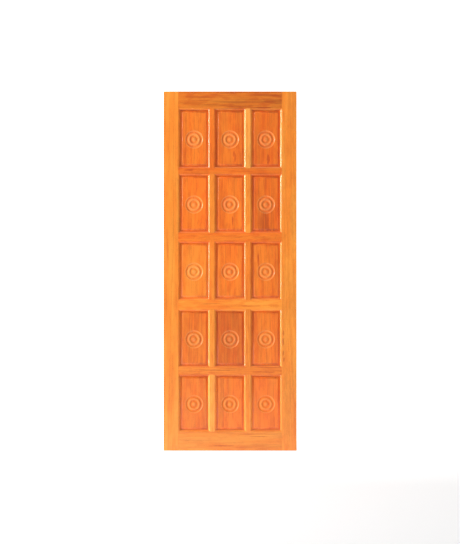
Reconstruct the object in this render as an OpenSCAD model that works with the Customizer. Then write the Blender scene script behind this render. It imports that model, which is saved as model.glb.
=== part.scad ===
// Carved panel door leaf: stiles, rails and muntins joined with mortises and
// tenons, holding fifteen raised panels that each carry a turned medallion.
// X runs across the leaf, Y through it with the carved front at -Y, Z is up.
// The origin lies at the middle of the leaf's bottom edge.

/* [Leaf] */
// Width of the leaf, from edge to edge
leaf_w = 762; // [700:1:950]
// Height of the leaf
leaf_h = 2057; // [1900:1:2500]
// Thickness of the stiles, rails and muntins
leaf_t = 35; // [32:0.5:48]

/* [Stiles, rails and muntins] */
// Width of each stile, with its moulding
stile_w = 97; // [85:1:130]
// Width of each muntin, with its two mouldings
muntin_w = 50; // [42:1:70]
// Height of the top rail, with its moulding
top_rail_h = 110; // [95:1:160]
// Height of the second rail from the top, with its two mouldings
rail_2_h = 58; // [46:1:110]
// Height of the third rail, with its two mouldings
rail_3_h = 74; // [46:1:120]
// Height of the fourth rail, with its two mouldings
rail_4_h = 79; // [46:1:120]
// Height of the fifth rail, with its two mouldings
rail_5_h = 67; // [46:1:110]
// Height of the bottom rail, with its moulding
bottom_rail_h = 121; // [95:1:240]
// How much lower each row of panels is than the row above it
row_step = 3.5; // [0:0.5:8]

/* [Moulding] */
// Width of the moulding along each edge that holds a panel
moulding_w = 12.5; // [11:0.5:16]
// Depth of the small step between the face and the quarter round
moulding_step = 1; // [0.5:0.1:1.5]
// Radius of the quarter round
round_r = 9; // [7:0.5:9.5]

/* [Panels] */
// Thickness of a panel through its raised field
panel_t = 22; // [18:0.5:26]
// Thickness of the tongue around a panel
tongue_t = 8; // [6:0.5:9]
// Depth of the grooves that hold the panels
groove_d = 12; // [9:0.5:14]
// Flat strip of tongue that shows between the moulding and the bevel
reveal_w = 1; // [0.5:0.5:4]
// Width of the bevel around the raised field
bevel_w = 10; // [7:0.5:16]
// Height of the small step where the bevel meets the field
field_step = 1; // [0.5:0.1:2]

/* [Medallions] */
// Radius from the middle of the boss to the bottom of the valley around it
boss_r = 17.5; // [14:0.5:19]
// Flat field left beside the rim of a medallion
medallion_margin = 14.5; // [6:0.5:20]
// How far the valleys lie below the crests
carve_d = 3.2; // [2.4:0.1:4.5]
// How far the crests lie below the field
crest_drop = 0.5; // [0.2:0.1:1]
// How far above the field the curve of the rim would end if the wood went on
rim_lift = 0.5; // [0.3:0.1:0.8]
// How far the middle of a medallion lies below the middle of its panel
medallion_drop = 6; // [0:1:30]

/* [Joints] */
// Thickness of the tenons that pass through the stiles
tenon_t = 12; // [9:0.5:14]
// Wood left between a tenon and the bottom of the rail's groove
tenon_shoulder = 4; // [2:0.5:5]
// Wood left beyond the tenons of the top and bottom rails
haunch_h = 30; // [20:1:45]
// Length of a muntin's tenon past the edge of the rail
stub_l = 20; // [16:0.5:21]
// Wood left at each side of a muntin's tenon, past the bottom of its grooves
stub_shoulder = 3; // [1:0.5:5]
// Length of the wedges that spread the through tenons
wedge_l = 60; // [40:1:75]
// Thickness of a wedge at the edge of the leaf
wedge_butt = 5; // [3.5:0.1:7]
// Thickness of a wedge at its inner tip
wedge_tip = 1.5; // [0.8:0.1:2.5]

/* [Clearances] */
// Gap between a panel's tongue and each wall of its groove
panel_fit = 0.2; // [0.1:0.05:0.3]
// Room for a panel to swell at its sides and its top
panel_room = 2; // [1:0.5:4]
// Gap all round a tenon, a wedge or a shoulder
joint_fit = 0.1; // [0.05:0.05:0.2]

/* [Hidden] */
$fn = 48;
over = 1;
hair = 0.002;
columns = 3;
rows = 5;
half_w = leaf_w / 2;
half_t = leaf_t / 2;
half_tongue = tongue_t / 2;
half_panel = panel_t / 2;
groove_w = tongue_t + 2 * panel_fit;
moulding_d = moulding_step + round_r;
inner_w = leaf_w - 2 * stile_w;
opening_w = (inner_w - (columns - 1) * muntin_w) / columns;

rail_hs = [top_rail_h, rail_2_h, rail_3_h, rail_4_h, rail_5_h, bottom_rail_h];
function total(list, count) = count == 0 ? 0 : list[count - 1] + total(list, count - 1);
mean_row_h = (leaf_h - total(rail_hs, rows + 1)) / rows;
row_hs = [for (row = [0:rows - 1]) mean_row_h + ((rows - 1) / 2 - row) * row_step];

// Lower edge of a row of openings, and of a rail, counted from the top
function row_z(row) = leaf_h - total(rail_hs, row + 1) - total(row_hs, row + 1);
function rail_z(rail) = leaf_h - total(rail_hs, rail + 1) - total(row_hs, rail);
// Left edge of a column of openings, counted from the left
function column_x(column) = -inner_w / 2 + column * (opening_w + muntin_w);

rail_names = ["top_rail", "second_rail", "third_rail", "fourth_rail", "fifth_rail", "bottom_rail"];
column_names = ["left", "middle", "right"];
muntin_names = ["left", "right"];
function panel_name(row, column) = str("panel_row_", row + 1, "_", column_names[column]);
function muntin_name(row, place) = str("muntin_row_", row + 1, "_", muntin_names[place]);

// Axes for the outlines below: along X for the distance, along Y for the depth.

// What is cut from one face beside an edge at X = 0, where the wood lies at +X.
// A fit above zero leaves that much less room.
module moulding_cut(fit = 0) {
    difference() {
        translate([-over, -half_t - over])
            square([over + moulding_w - fit, over + moulding_d - fit]);
        translate([moulding_w, moulding_d - half_t])
            circle(r = round_r + fit);
    }
}

// What is cut beside that edge in all: a moulding on both faces, and the groove
module edge_cut(fit = 0) {
    moulding_cut(fit);
    mirror([0, 1])
        moulding_cut(fit);
    translate([-over, fit - groove_w / 2])
        square([over + groove_d - fit, groove_w - 2 * fit]);
}

// Cross-section of a stile or an outer rail: plain at X = 0, moulded at X = width
module outer_section(width) {
    difference() {
        translate([0, -half_t])
            square([width, leaf_t]);
        translate([width, 0])
            mirror([1, 0])
                edge_cut();
    }
}

// Cross-section of a muntin or an inner rail, moulded at both edges
module inner_section(width) {
    difference() {
        translate([0, -half_t])
            square([width, leaf_t]);
        edge_cut();
        translate([width, 0])
            mirror([1, 0])
                edge_cut();
    }
}

// Outline between two moulded edges, one opening apart: it fills their mouldings
// and grooves, so that a piece of this outline is scribed over both
module scribed_span(length) {
    translate([joint_fit, -half_t])
        square([length - 2 * joint_fit, leaf_t]);
    mirror([1, 0])
        edge_cut(joint_fit);
    translate([length, 0])
        edge_cut(joint_fit);
}

// Stands an outline up: its X stays along X, its Y stays along Y
module upright(from_z, height) {
    translate([0, 0, from_z])
        linear_extrude(height)
            children();
}

// Lays an outline along X: its X turns upward to Z, its Y stays along Y
module lying(from_x, length) {
    translate([from_x, 0, 0])
        mirror([1, 0, 0])
            rotate([0, -90, 0])
                linear_extrude(length)
                    children();
}

// A block from its lower corner in X and Z, centred in the thickness
module block(corner_x, corner_z, size) {
    translate([corner_x, -size[1] / 2, corner_z])
        cube(size);
}

// Height of a rail's through tenon, and where it starts
function is_outer(rail) = rail == 0 || rail == rows;
function tenon_h(rail) =
    rail_hs[rail] - (groove_d + tenon_shoulder) - (is_outer(rail) ? haunch_h : groove_d + tenon_shoulder);
function tenon_z(rail) = rail_z(rail) + (rail == rows ? haunch_h : groove_d + tenon_shoulder);

// Thickness of a wedge at a distance from the edge of the leaf
function wedge_at(distance) = wedge_butt - (wedge_butt - wedge_tip) * distance / wedge_l;

// Side view of a wedge lying on a tenon, from the leaf's left edge inward
module wedge_outline(from_s, to_s, under, above) {
    polygon([
        [from_s, under],
        [to_s, under],
        [to_s, wedge_at(to_s) + above],
        [from_s, wedge_at(from_s) + above]
    ]);
}

// Both wedge places of one rail at the left edge, or the room cut for them
module wedge_pair(rail, thickness, from_s, to_s, under, above) {
    for (upper = [false, true])
        translate([-half_w, thickness / 2, tenon_z(rail) + (upper ? tenon_h(rail) : 0)])
            mirror([0, 0, upper ? 0 : 1])
                rotate([90, 0, 0])
                    linear_extrude(thickness)
                        wedge_outline(from_s, to_s, under, above);
}

// Mortise through the left stile for one rail, flared for the wedges
module through_mortise(rail) {
    room = [stile_w + 2 * over, tenon_t + 2 * joint_fit, tenon_h(rail) + 2 * joint_fit];
    block(-half_w - over, tenon_z(rail) - joint_fit, room);
    wedge_pair(rail, room[1], -over, wedge_l + joint_fit, 0, 2 * joint_fit);
}

module left_stile() {
    color("sandybrown")
        difference() {
            upright(0, leaf_h)
                translate([-half_w, 0])
                    outer_section(stile_w);
            for (rail = [0:rows])
                through_mortise(rail);
        }
}

module right_stile() {
    mirror([1, 0, 0])
        left_stile();
}

module rail_section(rail) {
    if (rail == 0)
        translate([rail_hs[rail], 0])
            mirror([1, 0])
                outer_section(rail_hs[rail]);
    else if (rail == rows)
        outer_section(rail_hs[rail]);
    else
        inner_section(rail_hs[rail]);
}

// Mortises for the muntins that stand on a rail, or hang under it
module stub_mortises(rail, above) {
    room = [stub_w() + 2 * joint_fit, groove_w, stub_l + joint_fit];
    bottom_z = above ? rail_z(rail) + rail_hs[rail] - room[2] : rail_z(rail);
    for (place = [0:columns - 2])
        block(column_x(place + 1) - muntin_w / 2 - room[0] / 2, bottom_z, room);
}

module rail(rail) {
    color("peru")
        difference() {
            union() {
                intersection() {
                    translate([0, 0, rail_z(rail)])
                        lying(-half_w, leaf_w)
                            rail_section(rail);
                    upright(rail_z(rail) - over, rail_hs[rail] + 2 * over)
                        translate([-inner_w / 2, 0])
                            scribed_span(inner_w);
                }
                block(-half_w, tenon_z(rail), [leaf_w, tenon_t, tenon_h(rail)]);
            }
            if (rail > 0)
                stub_mortises(rail, true);
            if (rail < rows)
                stub_mortises(rail, false);
        }
}

// Width of a muntin's tenon
function stub_w() = muntin_w - 2 * (groove_d + stub_shoulder);

module muntin(row, place) {
    left_x = column_x(place) + opening_w;
    color("sandybrown")
        union() {
            intersection() {
                upright(row_z(row) - leaf_t, row_hs[row] + 2 * leaf_t)
                    translate([left_x, 0])
                        inner_section(muntin_w);
                translate([0, 0, row_z(row)])
                    lying(left_x - over, muntin_w + 2 * over)
                        scribed_span(row_hs[row]);
            }
            block(
                left_x + (muntin_w - stub_w()) / 2,
                row_z(row) - stub_l,
                [stub_w(), groove_w - 2 * joint_fit, row_hs[row] + 2 * stub_l]
            );
        }
}

// Section of a raised panel across an opening that starts at X = 0. The tongue
// reaches past the opening by the two laps.
module raised_section(span, start_lap, end_lap) {
    field_in = reveal_w + bevel_w;
    bevel_top = half_panel - field_step;
    front = [
        [-start_lap, -half_tongue],
        [reveal_w, -half_tongue],
        [field_in, -bevel_top],
        [field_in, -half_panel],
        [span - field_in, -half_panel],
        [span - field_in, -bevel_top],
        [span - reveal_w, -half_tongue],
        [span + end_lap, -half_tongue]
    ];
    back = [for (i = [len(front) - 1:-1:0]) [front[i][0], -front[i][1]]];
    polygon(concat(front, back));
}

// The carving is a wave turned round the middle of the boss. Two arcs that meet
// at one slope lead down from each crest to the next valley, and up again.
// Sum of the radii of two such arcs, which run across and drop between level ends
function arcs_r(run, drop) = (run * run + drop * drop) / (2 * drop);

// Outline of the air over the carving, with the field at Y = 0 and the wood below.
// The arcs of the crests lie a hair over those of the valleys, so that they cross.
module carving_air() {
    rim_r = opening_w / 2 - reveal_w - bevel_w - medallion_margin;
    wave_w = (rim_r - boss_r) / 3;
    ring_r = boss_r + wave_w;
    valley_d = crest_drop + carve_d;
    rim_drop = valley_d + rim_lift;
    wave_arc = arcs_r(wave_w, carve_d) / 2;
    dome_arc = arcs_r(boss_r, carve_d) - wave_arc;
    rim_arc = arcs_r(wave_w, rim_drop) - wave_arc;
    valley_y = wave_arc - valley_d;
    difference() {
        union() {
            polygon([
                [0, valley_y + over],
                [0, -crest_drop - dome_arc],
                [boss_r, valley_y],
                [ring_r, -crest_drop - wave_arc],
                [ring_r + wave_w, valley_y],
                [rim_r, rim_lift - rim_arc],
                [rim_r, valley_y + over]
            ]);
            intersection() {
                translate([0, -valley_d - over])
                    square([rim_r, wave_arc + 2 * over]);
                for (valley_r = [boss_r, ring_r + wave_w])
                    translate([valley_r, valley_y])
                        circle(r = wave_arc);
            }
        }
        translate([0, -crest_drop - dome_arc])
            circle(r = dome_arc + hair);
        translate([ring_r, -crest_drop - wave_arc])
            circle(r = wave_arc + hair);
        translate([rim_r, rim_lift - rim_arc])
            circle(r = rim_arc + hair);
    }
}

module panel(row, column) {
    height = row_hs[row];
    color("darkorange")
        difference() {
            intersection() {
                upright(row_z(row) - groove_d, height + 2 * groove_d)
                    translate([column_x(column), 0])
                        raised_section(opening_w, groove_d - panel_room, groove_d - panel_room);
                translate([0, 0, row_z(row)])
                    lying(column_x(column) - groove_d, opening_w + 2 * groove_d)
                        raised_section(height, groove_d, groove_d - panel_room);
            }
            translate([column_x(column) + opening_w / 2, -half_panel, row_z(row) + height / 2 - medallion_drop])
                rotate([90, 0, 0])
                    rotate_extrude()
                        carving_air();
        }
}

module tenon_wedges() {
    color("saddlebrown")
        for (rail = [0:rows], side = [0, 1])
            mirror([side, 0, 0])
                wedge_pair(rail, tenon_t, 0, wedge_l, joint_fit, joint_fit);
}

left_stile();
right_stile();
for (i = [0:rows])
    rail(i);
for (row = [0:rows - 1], place = [0:columns - 2])
    muntin(row, place);
for (row = [0:rows - 1], column = [0:columns - 1])
    panel(row, column);
tenon_wedges();
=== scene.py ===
# %% [markdown]
# # A carved panel door
#
# The leaf is a real piece of joinery: two stiles, six rails, ten muntins and
# fifteen raised panels, all separate boards. Their shapes arrive finished from
# the packed model, at their real size in metres, with the carved front facing
# -Y. Blender's work is what a finisher would do: the wood, the varnish, the
# softened arrises and the light.

import math
import random
from collections import namedtuple

import bpy
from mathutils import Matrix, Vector


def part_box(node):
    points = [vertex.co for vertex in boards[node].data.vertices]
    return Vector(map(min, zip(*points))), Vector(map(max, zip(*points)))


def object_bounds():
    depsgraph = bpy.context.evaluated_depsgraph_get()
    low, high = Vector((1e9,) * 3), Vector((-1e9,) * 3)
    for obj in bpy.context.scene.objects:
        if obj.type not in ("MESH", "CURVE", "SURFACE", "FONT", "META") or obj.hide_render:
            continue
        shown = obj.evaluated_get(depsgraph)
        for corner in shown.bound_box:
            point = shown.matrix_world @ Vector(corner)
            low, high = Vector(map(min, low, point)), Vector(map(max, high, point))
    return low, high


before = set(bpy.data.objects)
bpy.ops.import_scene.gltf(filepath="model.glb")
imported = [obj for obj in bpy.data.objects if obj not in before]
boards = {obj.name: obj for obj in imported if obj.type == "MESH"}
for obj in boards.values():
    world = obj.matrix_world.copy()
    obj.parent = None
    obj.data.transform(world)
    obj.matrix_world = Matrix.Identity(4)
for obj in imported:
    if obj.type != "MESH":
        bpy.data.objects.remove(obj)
solid_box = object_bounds()
print(len(boards), "nodes, leaf from", *solid_box)

# %% [markdown]
# No two boards of a real door match, because each was sawn from its own place
# in its own log. One texture laid over the whole door is quicker, but it is
# what makes digital wood look printed: real grain stops and turns at every
# joint. So each board gets a material of its own here. Two notes come first:
# which way its fibres run, and how strongly the wood is coloured.

# %% Note which way the grain of each board runs
MM = 0.001


def runs_sideways(name):
    """Rails and their wedges have their grain along X, all other boards along Z."""
    return name.endswith("rail") or name == "tenon_wedges"


for name in list(boards)[:3]:
    print(name, "sideways" if runs_sideways(name) else "upright")

# %% Choose a tone for each board
# Each tone is the colour of the spring wood, then that of the darker summer wood.
TONES = {
    "pale": ((0.90, 0.37, 0.062), (0.70, 0.21, 0.024)),
    "honey": ((0.88, 0.30, 0.030), (0.66, 0.165, 0.012)),
    "amber": ((0.87, 0.26, 0.022), (0.62, 0.135, 0.009)),
    "orange": ((0.85, 0.21, 0.013), (0.58, 0.110, 0.005)),
    "ochre": ((0.74, 0.21, 0.012), (0.42, 0.085, 0.004)),
    "russet": ((0.78, 0.17, 0.008), (0.48, 0.080, 0.003)),
    "brown": ((0.36, 0.11, 0.015), (0.20, 0.050, 0.006)),
}
TONE_OF = {
    "left_stile": "honey",
    "right_stile": "honey",
    "top_rail": "ochre",
    "second_rail": "orange",
    "third_rail": "orange",
    "fourth_rail": "honey",
    "fifth_rail": "amber",
    "bottom_rail": "honey",
    "muntin_row_1_left": "orange",
    "muntin_row_1_right": "pale",
    "muntin_row_2_left": "honey",
    "muntin_row_2_right": "honey",
    "muntin_row_4_left": "honey",
    "muntin_row_5_left": "pale",
    "muntin_row_5_right": "honey",
    "panel_row_1_right": "russet",
    "panel_row_2_right": "russet",
    "panel_row_3_left": "amber",
    "panel_row_4_middle": "russet",
    "tenon_wedges": "brown",
}


def tone_of(name):
    """The two colours of a board: muntins are amber and panels orange unless chosen."""
    kind = TONE_OF.get(name, "amber" if name.startswith("muntin") else "orange")
    return TONES[kind]


for name in ("left_stile", "panel_row_1_left"):
    print(name, tone_of(name))

# %% [markdown]
# A shader is arithmetic on numbers that differ from point to point: each
# socket stands for one of them. Wrapping a socket in a small class lets
# Python's own signs build the Math nodes, so a line of wood texture reads like
# a formula. Colours never go through it, because a Math node would turn them
# grey: they have Mix nodes of their own.

# %% Give shader sockets Python's arithmetic


class Wire:
    """A number at every point of a surface, as a shader socket."""

    def __init__(self, finish, socket):
        self.finish = finish
        self.socket = socket

    def __add__(self, other):
        return self.finish.math("ADD", self, other)

    def __sub__(self, other):
        return self.finish.math("SUBTRACT", self, other)

    def __rsub__(self, other):
        return self.finish.math("SUBTRACT", other, self)

    def __mul__(self, other):
        return self.finish.math("MULTIPLY", self, other)

    def __truediv__(self, other):
        return self.finish.math("DIVIDE", self, other)

    def __rtruediv__(self, other):
        return self.finish.math("DIVIDE", other, self)

    __radd__ = __add__
    __rmul__ = __mul__


print("a Wire understands + - * /")

# %% Make any other node through one method
# The Mix node has sockets for numbers and vectors too: these are its colour ones.
MIX_FACTOR, MIX_FIRST, MIX_SECOND, MIX_RESULT = 0, 6, 7, 2


class Finish:
    """A material being made: it adds nodes and links them."""

    def __init__(self, name):
        self.material = bpy.data.materials.new(name)
        self.material.use_nodes = True
        self.tree = self.material.node_tree
        self.tree.nodes.clear()

    def node(self, kind, settings=None, inputs=None, out=0):
        """Adds a node: its settings come first, then what goes into its sockets."""
        made = self.tree.nodes.new("ShaderNode" + kind)
        for key, value in (settings or {}).items():
            if key == "stops":
                self.set_stops(made.color_ramp.elements, value)
            else:
                setattr(made, key, value)
        for key, value in (inputs or {}).items():
            if isinstance(value, Wire):
                self.tree.links.new(value.socket, made.inputs[key])
            else:
                made.inputs[key].default_value = value
        return Wire(self, made.outputs[out]) if made.outputs else None

    def set_stops(self, elements, stops):
        """Sets a ramp's stops from pairs of place and level."""
        while len(elements) < len(stops):
            elements.new(1.0)
        for element, (place, level) in zip(elements, stops):
            element.position = place
            element.color = (level, level, level, level)

    def math(self, operation, *values):
        """Adds a Math node for one operation."""
        return self.node("Math", {"operation": operation}, dict(enumerate(values)))

    def fade(self, value, low, high):
        """Goes smoothly from 0 at low to 1 at high."""
        inputs = {"Value": value, "From Min": low, "From Max": high}
        return self.node("MapRange", {"interpolation_type": "SMOOTHSTEP"}, inputs)

    def mix(self, factor, first, second, blend="MIX"):
        """Mixes two colours, each a wire or a tuple of red, green and blue."""
        first, second = (c if isinstance(c, Wire) else (*c, 1.0) for c in (first, second))
        settings = {"data_type": "RGBA", "blend_type": blend}
        inputs = {MIX_FACTOR: factor, MIX_FIRST: first, MIX_SECOND: second}
        return self.node("Mix", settings, inputs, out=MIX_RESULT)

    def stain(self, colour, mask, tint):
        """Multiplies a colour by a tint where the mask is 1, as a clear stain does."""
        return self.mix(mask, colour, tint, blend="MULTIPLY")

    def coordinates(self, kind="Object"):
        """The three numbers of a texture coordinate."""
        split = self.node("SeparateXYZ", inputs={0: self.node("TexCoord", out=kind)}).socket.node
        return [Wire(self, socket) for socket in split.outputs]

    def cover(self, skin):
        """Ends the material with a surface that has these values in its sockets."""
        self.node("OutputMaterial", inputs={"Surface": self.node("BsdfPrincipled", inputs=skin)})


print("a Finish makes", [part for part in vars(Finish) if not part.startswith("_")])

# %% [markdown]
# Wood is solid, so its texture is worked out in three dimensions: a place in
# the board becomes a place in the log. Object coordinates are metres in the
# model's own frame. Turning them so that the last axis follows the grain
# lets one recipe serve upright boards and rails alike, and it makes the ends
# of the tenons show end grain without a separate material.

# %% Turn a place in the board into a place in the log


def places_in_board(finish, name):
    """Distances from the board's middle: across the grain, through it and along it."""
    low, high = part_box(name)
    middle = [(a + b) / 2 for a, b in zip(low, high)]
    x, y, z = (part - centre for part, centre in zip(finish.coordinates(), middle))
    return (z, y, x) if runs_sideways(name) else (x, y, z)


# %% [markdown]
# Nearly everything in wood is a soft, irregular change that is drawn out along
# the grain: the sway of the rings, the streaks, the fibres and the pores. All
# of them can be the same noise, only finer and longer from one to the next.
# Each kind reads the noise at a place of its own, or else the streaks would
# follow the fibres like a shadow.

# %% Draw noise out along the grain
# place: where the noise is read, fineness: how fine it is to a metre,
# stretch: how far it is drawn out, detail: how many finer layers it has.
Figure = namedtuple("Figure", "place fineness stretch detail")


def cloud(finish, places, log, figure):
    """Noise from 0 to 1 that runs along the grain."""
    across, through, along = places
    seed = log["seed"] + figure.place
    parts = (across + seed, through + seed, along * (1 / figure.stretch) + seed)
    spread = {i: part * figure.fineness for i, part in enumerate(parts)}
    where = finish.node("CombineXYZ", inputs=spread)
    noise = {"Vector": where, "Scale": 1.0, "Detail": figure.detail}
    return finish.node("TexNoise", inputs=noise)


print("a noise is told by its", *Figure._fields)

# %% [markdown]
# The log decides the figure of a board: where the heart of the tree lay beside
# it, how wide the yearly rings are and how much the colour wanders. A random
# generator that starts from the board's own name picks most of this, which
# makes boards differ and still gives the same door on every run. Some boards
# of this door are plainly lighter, streakier or cloudier than their
# neighbours, and for those the numbers are told.

# %% Tell which boards are lighter, streakier or cloudier
# How much lighter than the others.
SHADES = {
    "right_stile": -0.04,
    "fourth_rail": 0.06,
    "bottom_rail": -0.06,
    "muntin_row_1_left": 0.04,
    "muntin_row_1_right": 0.05,
    "muntin_row_2_left": -0.10,
    "muntin_row_2_right": 0.11,
    "muntin_row_3_right": -0.05,
    "muntin_row_5_left": 0.08,
    "muntin_row_5_right": 0.05,
    "panel_row_1_left": 0.03,
    "panel_row_1_right": 0.06,
    "panel_row_2_left": 0.04,
    "panel_row_2_middle": 0.06,
    "panel_row_2_right": 0.08,
    "panel_row_3_right": 0.11,
    "panel_row_4_left": -0.06,
    "panel_row_4_middle": -0.08,
    "panel_row_4_right": 0.06,
    "panel_row_5_left": -0.10,
    "panel_row_5_right": 0.04,
}
# How strong the streaks are, up to 1.
STREAKS = {
    "top_rail": 0.8,
    "second_rail": 0.7,
    "fourth_rail": 0.45,
    "panel_row_2_right": 1.0,
    "panel_row_3_right": 0.55,
    "right_stile": 0.25,
}
# How strong the clouds are, up to 1.
MOTTLES = {"left_stile": 0.3, "right_stile": 0.4, "top_rail": 0.9, "bottom_rail": 0.5}
RAIL_MOTTLE = 0.7
OTHER_MOTTLE = 0.5
print(len(SHADES), "shades,", len(STREAKS), "streaks and", len(MOTTLES), "mottles are told")

# %% Pick a log for each board

def log_of(name):
    """The place of the heart, the width of the rings and the strength of the figure."""
    draw = random.Random(name)
    return {
        "seed": draw.uniform(-40.0, 40.0),
        "heart_side": draw.uniform(-55, 55) * MM,
        "heart_depth": draw.choice((-1, 1)) * draw.uniform(35, 90) * MM,
        "lean": draw.uniform(-0.05, 0.05),
        "ring_width": draw.uniform(3.4, 6.0) * MM,
        "streaks": STREAKS.get(name, draw.uniform(0.35, 0.65)),
        "shade": draw.uniform(-0.06, 0.06) + SHADES.get(name, 0.0),
        "mottle": MOTTLES.get(name, RAIL_MOTTLE if name.endswith("rail") else OTHER_MOTTLE),
    }


print(log_of("left_stile"))

# %% [markdown]
# The yearly rings are tubes round the heart of the tree. A board is a flat
# slice beside the heart, so its face cuts the tubes at a shallow angle: that
# is what draws the long arches in the middle of a board and the straight
# lines near its edges. The same happens here. The distance to a leaning heart
# line, bent by soft noise, is divided by the width of a ring, and the part
# behind the decimal point says how far through the year the wood grew.

# %% Grow the rings
SWAY = Figure(place=0.0, fineness=9.0, stretch=9.0, detail=2.0)
RIPPLE = Figure(place=3.0, fineness=55.0, stretch=14.0, detail=2.0)
SWAY_REACH = 34 * MM
RIPPLE_REACH = 5 * MM
RING_RIPPLE = 3 * MM
YEAR = [(0.0, 0.0), (0.45, 0.12), (0.80, 0.62), (0.93, 1.0), (1.0, 0.05)]
FAINTEST_RING = 0.45


def rings(finish, places, log):
    """How much summer wood there is, from 0 to 1."""
    across, through, along = places
    sway = cloud(finish, places, log, SWAY) - 0.5
    ripple = cloud(finish, places, log, RIPPLE) - 0.5
    side = across - log["heart_side"] - along * log["lean"] + sway * SWAY_REACH
    depth = through - log["heart_depth"] + ripple * RIPPLE_REACH
    radius = finish.math("SQRT", side * side + depth * depth) + ripple * RING_RIPPLE
    age = radius / log["ring_width"]
    season = finish.math("FRACT", age)
    summer = finish.node("ValToRGB", {"stops": YEAR}, {"Fac": season}, out="Alpha")
    number = finish.math("FLOOR", age)
    luck = finish.node("TexWhiteNoise", {"noise_dimensions": "1D"}, {"W": number}, out="Value")
    return summer * (FAINTEST_RING + (1 - FAINTEST_RING) * luck)


print("a year in", len(YEAR), "steps")

# %% [markdown]
# Between the rings lies everything that tells one wood from another. Darker
# streaks of colour follow the grain for a hand's length, fine fibres make the
# surface shimmer, and open pores show as short dark dashes. Broader than these
# are patches of redder wood, and clouds where the fibres lean away from the
# light. Each is a mask here, so that the board keeps its tone.

# %% Add streaks, fibres and pores
BROAD_STREAK = Figure(place=7.0, fineness=34.0, stretch=13.0, detail=3.0)
NARROW_STREAK = Figure(place=11.0, fineness=150.0, stretch=28.0, detail=2.0)
BROAD_SHARE = 0.65
STREAK_FADE = (0.47, 0.68)
FIBRE = Figure(place=13.0, fineness=900.0, stretch=40.0, detail=1.0)
PORE = Figure(place=17.0, fineness=2400.0, stretch=34.0, detail=0.0)
PORE_FADE = (0.66, 0.76)


def streaks(finish, places, log):
    """Dark bands of colour along the grain, from 0 to 1."""
    broad = cloud(finish, places, log, BROAD_STREAK)
    narrow = cloud(finish, places, log, NARROW_STREAK)
    return finish.fade(broad * BROAD_SHARE + narrow * (1 - BROAD_SHARE), *STREAK_FADE)


def pores(finish, places, log):
    """Short open vessels, from 0 to 1."""
    return finish.fade(cloud(finish, places, log, PORE), *PORE_FADE)


print("pores", round(1000 / PORE.fineness, 2), "mm wide")

# %% Add patches and clouds
REDDER = Figure(place=19.0, fineness=30.0, stretch=12.0, detail=2.0)
REDDER_FADE = (0.40, 0.60)
CLOUDED = Figure(place=31.0, fineness=60.0, stretch=4.0, detail=3.0)
CLOUDED_FADE = (0.42, 0.66)


def blush(finish, places, log):
    """Broad patches of redder wood, from 0 to 1."""
    return finish.fade(cloud(finish, places, log, REDDER), *REDDER_FADE)


def mottle(finish, places, log):
    """Clouds where the fibres lean away from the light, from 0 to 1."""
    return finish.fade(cloud(finish, places, log, CLOUDED), *CLOUDED_FADE)


print("patches", round(1000 / REDDER.fineness), "mm wide")

# %% [markdown]
# Knots and mineral streaks sit where the tree put them, so chance won't do:
# each is told by its place on the board and its size. A plain ellipse would
# look stamped. Adding noise to the distance from its middle before the edge is
# drawn frays it, and the fibres seem to flow round it.

# %% Add a few knots and mineral streaks
# Millimetres across and along the grain from the board's middle, half the
# width, half the length, and the strength.
MARKS = {
    "top_rail": [(50, 150, 3, 260, 0.7), (-30, 60, 3, 70, 0.7), (-38, 180, 4, 60, 0.7)],
    "second_rail": [(5, -236, 6, 26, 0.9), (-18, -60, 3, 110, 0.6), (-16, 190, 3, 80, 0.6)],
    "fourth_rail": [(6, -110, 4, 60, 0.6), (-8, 90, 3, 90, 0.6)],
    "fifth_rail": [(4, -60, 4, 90, 0.6), (-6, 200, 5, 60, 0.6)],
    "bottom_rail": [(-32, -40, 4, 60, 0.7), (20, 170, 3, 50, 0.7)],
    "right_stile": [
        (-26, -355, 5, 14, 0.8),
        (-29, -405, 5, 20, 0.8),
        (-27, -470, 5, 18, 0.8),
        (-24, -505, 4, 12, 0.8),
        (10, -930, 70, 300, 0.3),
    ],
    "panel_row_1_middle": [(30, -110, 5, 22, 0.8), (22, -86, 5, 18, 0.8)],
    "panel_row_1_right": [(12, -118, 8, 26, 0.8)],
    "panel_row_2_middle": [(14, -100, 5, 24, 0.8)],
    "panel_row_3_right": [(-44, 60, 5, 40, 0.8)],
}
FRAY = Figure(place=37.0, fineness=130.0, stretch=3.0, detail=3.0)
FRAY_REACH = 3.0
MARK_FADE = (0.2, 1.8)


def marks(finish, name, places, log):
    """Knots and streaks at chosen places, from 0 to 1."""
    across, _, along = places
    fray = (cloud(finish, places, log, FRAY) - 0.5) * FRAY_REACH
    clear = 1.0
    for side, up, half_width, half_length, strength in MARKS[name]:
        wide = (across - side * MM) / (half_width * MM)
        long = (along - up * MM) / (half_length * MM)
        outside = finish.fade(wide * wide + long * long + fray, *MARK_FADE)
        clear = clear * (1 - strength * (1 - outside))
    return 1 - clear


print(sum(len(places) for places in MARKS.values()), "marks on", len(MARKS), "boards")

# %% [markdown]
# Varnish isn't the same everywhere. Below the face of each board the colour is painted redder
# and darker: a painted shade in the hollows, together with the varnish that pools there, so the
# mouldings look deeper than the flat wood. Cut fibres drink the varnish, so end grain turns dark
# and dull. The two long edges of a door get one thin coat before it is hung, so they are dull,
# and their colour is painted darker: a painted shade that tones down the side lamp's glare.
# Each of these is told from where a point lies or which way it faces: the
# board's box gives the height of its faces, and the leaf's box its edges.

# %% Find the hollows, the end grain and the long edges
HOLLOW = (0.5 * MM, 8 * MM)
CUT_FADE = (0.75, 0.92)
EDGE_SKIN = (0.5 * MM, 0.1 * MM)


def hollow(finish, name):
    """How far a point lies below the face of its board, from 0 to 1."""
    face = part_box(name)[1].y
    height = finish.math("ABSOLUTE", finish.coordinates()[1])
    return finish.fade(face - height, *HOLLOW)


def end_grain(finish, name):
    """1 where the surface cuts across the fibres, 0 elsewhere."""
    along = finish.coordinates("Normal")[0 if runs_sideways(name) else 2]
    return finish.fade(finish.math("ABSOLUTE", along), *CUT_FADE)


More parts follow.
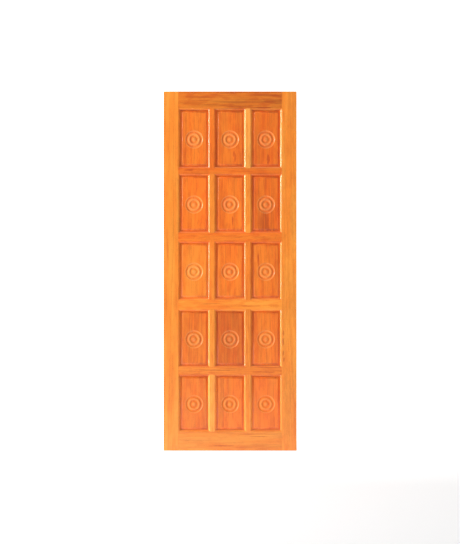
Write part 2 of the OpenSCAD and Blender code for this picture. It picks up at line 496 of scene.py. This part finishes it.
def long_edge(finish):
    """1 on the leaf's two long edges, 0 elsewhere."""
    beside = finish.math("ABSOLUTE", finish.coordinates()[0])
    return finish.fade(beside, *(solid_box[1].x - skin for skin in EDGE_SKIN))


print("hollows down to", HOLLOW[1] / MM, "mm")

# %% [markdown]
# A medallion is turned with sharp tools after the panel is planed, so its wood is fresher than
# the rest, and sanding a curve leaves it duller. Its crests are painted paler and its valleys
# darker: a painted highlight and a painted shade on the relief, along with stain that gathers in
# the valleys and is wiped off the crests. That is what makes so shallow a carving legible from
# across a room, where its shadows are weak.

# %% Find the medallion and its valleys
MEDALLION_BELOW_MIDDLE = 5 * MM
MEDALLION_EDGE = (50 * MM, 54 * MM)
BEHIND_CARVING = (-6 * MM, -4 * MM)
# Depths of the valleys, where stain and a painted shade gather.
VALLEY = (-10.3 * MM, -7.5 * MM)


def medallion(finish, places):
    """1 inside a medallion's rim, 0 on the rest of the panel and on its back."""
    across, through, along = places
    up = along + MEDALLION_BELOW_MIDDLE
    outside = finish.fade(finish.math("SQRT", across * across + up * up), *MEDALLION_EDGE)
    behind = finish.fade(through, *BEHIND_CARVING)
    return (1 - outside) * (1 - behind)


def valleys(finish, places):
    """1 at the bottom of the carving's valleys, 0 on its crests."""
    return finish.fade(places[1], *VALLEY)


print("stain gathers", round((VALLEY[1] - VALLEY[0]) / MM, 1), "mm deep")

# %% [markdown]
# Now the masks come together. First the bare wood: the two colours of the
# tone, mixed by the rings and the streaks, then stained by patches, clouds and
# knots. A stain multiplies what lies under it, so the figure stays visible
# through it, and a Mix that replaces the colour would bury it.

# %% Colour the bare wood
RING_SHARE = 0.6
BLUSH_SHARE = 0.75
BLUSH = (1.0, 0.80, 0.55)
CLOUD = (0.86, 0.64, 0.42)
KNOT = (0.72, 0.48, 0.32)


def bare_wood(finish, name, places, log, summer):
    """The colour of the planed board."""
    light, dark = tone_of(name)
    colour = finish.mix(summer * RING_SHARE, light, dark)
    colour = finish.mix(streaks(finish, places, log) * log["streaks"], colour, dark)
    colour = finish.stain(colour, blush(finish, places, log) * BLUSH_SHARE, BLUSH)
    colour = finish.stain(colour, mottle(finish, places, log) * log["mottle"], CLOUD)
    if name in MARKS:
        colour = finish.stain(colour, marks(finish, name, places, log), KNOT)
    return colour


print("bare wood from", len(TONES), "tones")

# %% Shade it, and stain and paint shade into the hollows and the carving
DRIFT = Figure(place=23.0, fineness=9.0, stretch=3.0, detail=2.0)
BRIGHTNESS = 1.065
DRIFT_SHADE = 0.32
FIBRE_SHADE = 0.16
PORE_SHADE = 0.28
# End grain is darker wood; the long edges are darkened by the same amount, a painted shade
# against the side lamp's glare.
END_GRAIN_AND_EDGE_SHADE = 0.45
# Painted shade in the hollows, together with pooled varnish: redder and darker below a board's
# face.
HOLLOW_SHADE_AND_VARNISH = (1.0, 0.84, 0.50)
# Paler, pinker carving: fresher wood, with a painted highlight that is stronger on the crests
# than in the valleys.
FRESH_WOOD_AND_CREST_LIGHT = (0.95, 0.44, 0.15)
FRESH_WOOD_AND_CREST_LIGHT_SHARE = 0.30
LESS_FRESH_WOOD_AND_CREST_LIGHT_IN_VALLEYS = 0.6
# Darker valleys: painted shade together with stain gathered there.
VALLEY_STAIN_AND_SHADE = (0.93, 0.80, 0.58)
VALLEY_STAIN_AND_SHADE_SHARE = 0.32


def shaded(finish, places, log, fibre, pore, end_grain_and_edge_shade_masks):
    """How light the wood is: it drifts along the board, fibres, pores and cuts show, and the
    long edges get a painted shade.
    """
    drift = cloud(finish, places, log, DRIFT)
    shade = BRIGHTNESS + log["shade"] + (drift - 0.5) * DRIFT_SHADE + (fibre - 0.5) * FIBRE_SHADE
    shade = shade * (1 - pore * PORE_SHADE)
    for cut in end_grain_and_edge_shade_masks:
        shade = shade * (1 - cut * END_GRAIN_AND_EDGE_SHADE)
    return finish.node("CombineColor", inputs={0: shade, 1: shade, 2: shade})


def carving_stain_and_painted_light(finish, colour, places, carved):
    """Fresher wood and a painted highlight on a medallion's crests, stain and painted shade in
    its valleys.
    """
    valley = valleys(finish, places)
    fresh_wood_and_crest_light = carved * (1 - valley * LESS_FRESH_WOOD_AND_CREST_LIGHT_IN_VALLEYS)
    colour = finish.mix(fresh_wood_and_crest_light * FRESH_WOOD_AND_CREST_LIGHT_SHARE, colour, FRESH_WOOD_AND_CREST_LIGHT)
    return finish.stain(colour, carved * valley * VALLEY_STAIN_AND_SHADE_SHARE, VALLEY_STAIN_AND_SHADE)


print("end grain is darker by", END_GRAIN_AND_EDGE_SHADE)

# %% [markdown]
# Varnish is a clear coat over the wood: two surfaces, each with its own gloss.
# The Principled shader has both. Where the wood was cut or carved, the coat is
# thinner and what lies under it rougher. A bump of a few hundredths of a
# millimetre lets the pores and fibres break up the highlights.

# %% Bring the wood and the varnish together
SMUDGE = Figure(place=29.0, fineness=26.0, stretch=1.0, detail=3.0)
COAT = 0.65
ROUGHNESS = 0.34
SMUDGE_ROUGHNESS = 0.10
# How much coat is lost, and how much roughness is gained.
ON_END_GRAIN = (0.5, 0.25)
ON_LONG_EDGE = (0.6, 0.25)
ON_CARVING = (0.5, 0.10)
FIBRE_RELIEF = 0.25
RING_RELIEF = 0.25
PORE_RELIEF = 0.5
RELIEF_HEIGHT = 0.15 * MM


def varnished_wood(name):
    """The finished material of one board."""
    finish = Finish(name + "_wood")
    log = log_of(name)
    places = places_in_board(finish, name)
    summer = rings(finish, places, log)
    fibre = cloud(finish, places, log, FIBRE)
    pore = pores(finish, places, log)
    cut = end_grain(finish, name)
    dull = [(cut, ON_END_GRAIN)]
    if not name.startswith(("panel", "muntin")):
        dull.append((long_edge(finish), ON_LONG_EDGE))

    # End grain is darker wood; the long edges get a painted shade that tones down the side
    # lamp's glare.
    shade = shaded(finish, places, log, fibre, pore, [mask for mask, _ in dull])
    colour = finish.stain(bare_wood(finish, name, places, log, summer), 1.0, shade)
    # Paint shade into the hollows, together with the varnish pooled there.
    colour = finish.stain(colour, hollow(finish, name), HOLLOW_SHADE_AND_VARNISH)
    if name.startswith("panel"):
        carved = medallion(finish, places)
        colour = carving_stain_and_painted_light(finish, colour, places, carved)
        dull.append((carved, ON_CARVING))

    coat = COAT
    roughness = ROUGHNESS + (cloud(finish, places, log, SMUDGE) - 0.5) * SMUDGE_ROUGHNESS
    for mask, (coat_loss, roughness_gain) in dull:
        coat = coat - mask * coat_loss
        roughness = roughness + mask * roughness_gain

    relief = fibre * FIBRE_RELIEF + summer * RING_RELIEF - pore * PORE_RELIEF
    bump = {"Strength": 0.25, "Distance": RELIEF_HEIGHT, "Height": relief}
    skin = {
        "Base Color": colour,
        "Roughness": roughness,
        "Specular IOR Level": 0.25,
        "Normal": finish.node("Bump", inputs=bump, out="Normal"),
        "Coat Weight": coat,
        "Coat Roughness": 0.2,
        "Coat IOR": 1.6,
    }
    finish.cover(skin)
    return finish.material


for name, board in boards.items():
    board.data.materials.clear()
    board.data.materials.append(varnished_wood(name))
print("materials", len(bpy.data.materials))

# %% [markdown]
# No board leaves the bench with knife edges. A few strokes of fine sandpaper
# take every arris back by a third of a millimetre, and that narrow round is
# what catches the light along an edge. The packed meshes come with their
# corners split, so they are welded before the bevel can find the arrises, and
# weighted normals keep the flats flat beside the new rounds.

# %% Ease the arrises
ARRIS = 0.35 * MM
SAME_PLACE = 0.001 * MM
SHARP = math.radians(50)

for name, board in boards.items():
    weld = board.modifiers.new("weld", "WELD")
    weld.merge_threshold = SAME_PLACE
    ease = board.modifiers.new("ease", "BEVEL")
    ease.width = ARRIS
    ease.segments = 2
    ease.limit_method = "ANGLE"
    ease.angle_limit = SHARP
    board.modifiers.new("even", "WEIGHTED_NORMAL").keep_sharp = False
print("arrises eased by", ARRIS / MM, "mm")

# %% [markdown]
# The picture is a studio shot on white. A floor of white paper runs up behind
# the leaf in one sweep, so that no line divides them: a flat floor and a wall
# would meet in one. A photographer lights the back of the paper by itself to
# keep it white, and here the paper glows a little instead, less in front of the
# leaf, where it would wash out the mouldings from below.

# %% Sweep the floor up behind the leaf
SWEEP_WIDTH = 26.0
FLOOR_FRONT = -14.0
WALL_Y = 7.5
WALL_HEIGHT = 9.0
CURVE = 2.0
CURVE_STEPS = 16

profile = [(FLOOR_FRONT, 0.0)]
for step in range(CURVE_STEPS + 1):
    turn = math.pi / 2 * step / CURVE_STEPS
    profile.append((WALL_Y - CURVE + CURVE * math.sin(turn), CURVE - CURVE * math.cos(turn)))
profile.append((WALL_Y, WALL_HEIGHT))
points = [(side * SWEEP_WIDTH / 2, y, z) for y, z in profile for side in (-1, 1)]
faces = [(i, i + 1, i + 3, i + 2) for i in range(0, len(points) - 2, 2)]
sweep_mesh = bpy.data.meshes.new("sweep")
sweep_mesh.from_pydata(points, [], faces)
sweep_mesh.polygons.foreach_set("use_smooth", [True] * len(faces))
sweep = bpy.data.objects.new("sweep", sweep_mesh)
bpy.context.scene.collection.objects.link(sweep)
print("sweep", len(faces), "faces")

# %% Lay the paper on it
PAPER = (0.72, 0.72, 0.72, 1.0)
GLOW = 0.78
GLOW_IN_FRONT = (0.29, 0.29, 0.29)
GLOW_BEHIND = (1.0, 1.0, 1.0)
GLOW_EDGE = (-1.2, 0.7)

paper = Finish("sweep_paper")
tooth = {"Vector": paper.node("TexCoord", out="Object"), "Scale": 300.0}
grip = {"Strength": 0.1, "Distance": 0.2 * MM, "Height": paper.node("TexNoise", inputs=tooth)}
behind = paper.fade(paper.coordinates()[1], *GLOW_EDGE)
paper_skin = {
    "Base Color": PAPER,
    "Roughness": 0.9,
    "Normal": paper.node("Bump", inputs=grip, out="Normal"),
    "Emission Color": paper.mix(behind, GLOW_IN_FRONT, GLOW_BEHIND),
    "Emission Strength": GLOW,
}
paper.cover(paper_skin)
sweep_mesh.materials.append(paper.material)
print("the paper fades between", *GLOW_EDGE, "m")

# %% [markdown]
# Relief is read from light that comes from one side. A soft key lamp stands
# far out to the left and a little higher than the leaf, so every slope that
# faces left is bright and every slope that faces right is dark. A tall narrow
# lamp stands almost in the plane of the leaf. It only grazes the flats and
# falls square on the slopes of the mouldings, where it draws their pale lines.
# A weak lamp on high and the pale world fill the shadows, so that no side of
# the leaf goes black.

# %% Light it from the left
# Where each lamp stands, its width and height, and its power in watts.
LAMPS = {
    "key_lamp": ((-4.78, -1.85, 2.55), (1.1, 1.8), 282.0),
    "side_lamp": ((-5.0, -0.17, 1.2), (0.65, 2.3), 310.0),
    "top_lamp": ((0.0, -3.0, 6.2), (2.5, 2.5), 50.0),
}
WORLD_STRENGTH = 0.34
middle = (solid_box[0] + solid_box[1]) / 2


def turned_to(place, target):
    """The turn that makes a lamp at one place look at another."""
    return (Vector(target) - Vector(place)).to_track_quat("-Z", "Y").to_euler()


for name, (place, size, power) in LAMPS.items():
    light = bpy.data.lights.new(name, "AREA")
    light.shape = "RECTANGLE"
    light.size, light.size_y = size
    light.energy = power
    lamp = bpy.data.objects.new(name, light)
    lamp.location = place
    lamp.rotation_euler = turned_to(place, middle)
    bpy.context.scene.collection.objects.link(lamp)

world = bpy.data.worlds.new("studio")
world.use_nodes = True
air = world.node_tree.nodes["Background"]
air.inputs["Color"].default_value = (1.0, 1.0, 1.0, 1.0)
air.inputs["Strength"].default_value = WORLD_STRENGTH
bpy.context.scene.world = world
bpy.context.scene.view_settings.view_transform = "Standard"
print("lamps", *LAMPS)

# %% [markdown]
# The photograph looks straight at the middle of the leaf from a fair
# distance, which keeps the stiles parallel. The lens follows from how much of
# the picture's height the leaf fills, and the eye is moved by the pixel or so
# that the leaf's middle lies away from the picture's.

# %% Place the camera
PICTURE = (460, 544)
LEAF_PIXELS = 359.3
LEAF_MIDDLE_PIXEL = (230.1, 271.05)
DISTANCE = 6.5
SENSOR = 36.0

leaf_height = (solid_box[1] - solid_box[0]).z
view_height = leaf_height * PICTURE[1] / LEAF_PIXELS
metre_per_pixel = view_height / PICTURE[1]
camera = bpy.data.cameras.new("camera")
camera.sensor_width = SENSOR
camera.lens = SENSOR * (DISTANCE + solid_box[0].y) / view_height
eye = bpy.data.objects.new("camera", camera)
eye.location = (
    middle.x + (PICTURE[0] / 2 - LEAF_MIDDLE_PIXEL[0]) * metre_per_pixel,
    -DISTANCE,
    middle.z - (PICTURE[1] / 2 - LEAF_MIDDLE_PIXEL[1]) * metre_per_pixel,
)
eye.rotation_euler = (math.pi / 2, 0.0, 0.0)
bpy.context.scene.collection.objects.link(eye)
bpy.context.scene.camera = eye
print("lens", round(camera.lens, 2), "mm, eye at", *eye.location)

# %% [markdown]
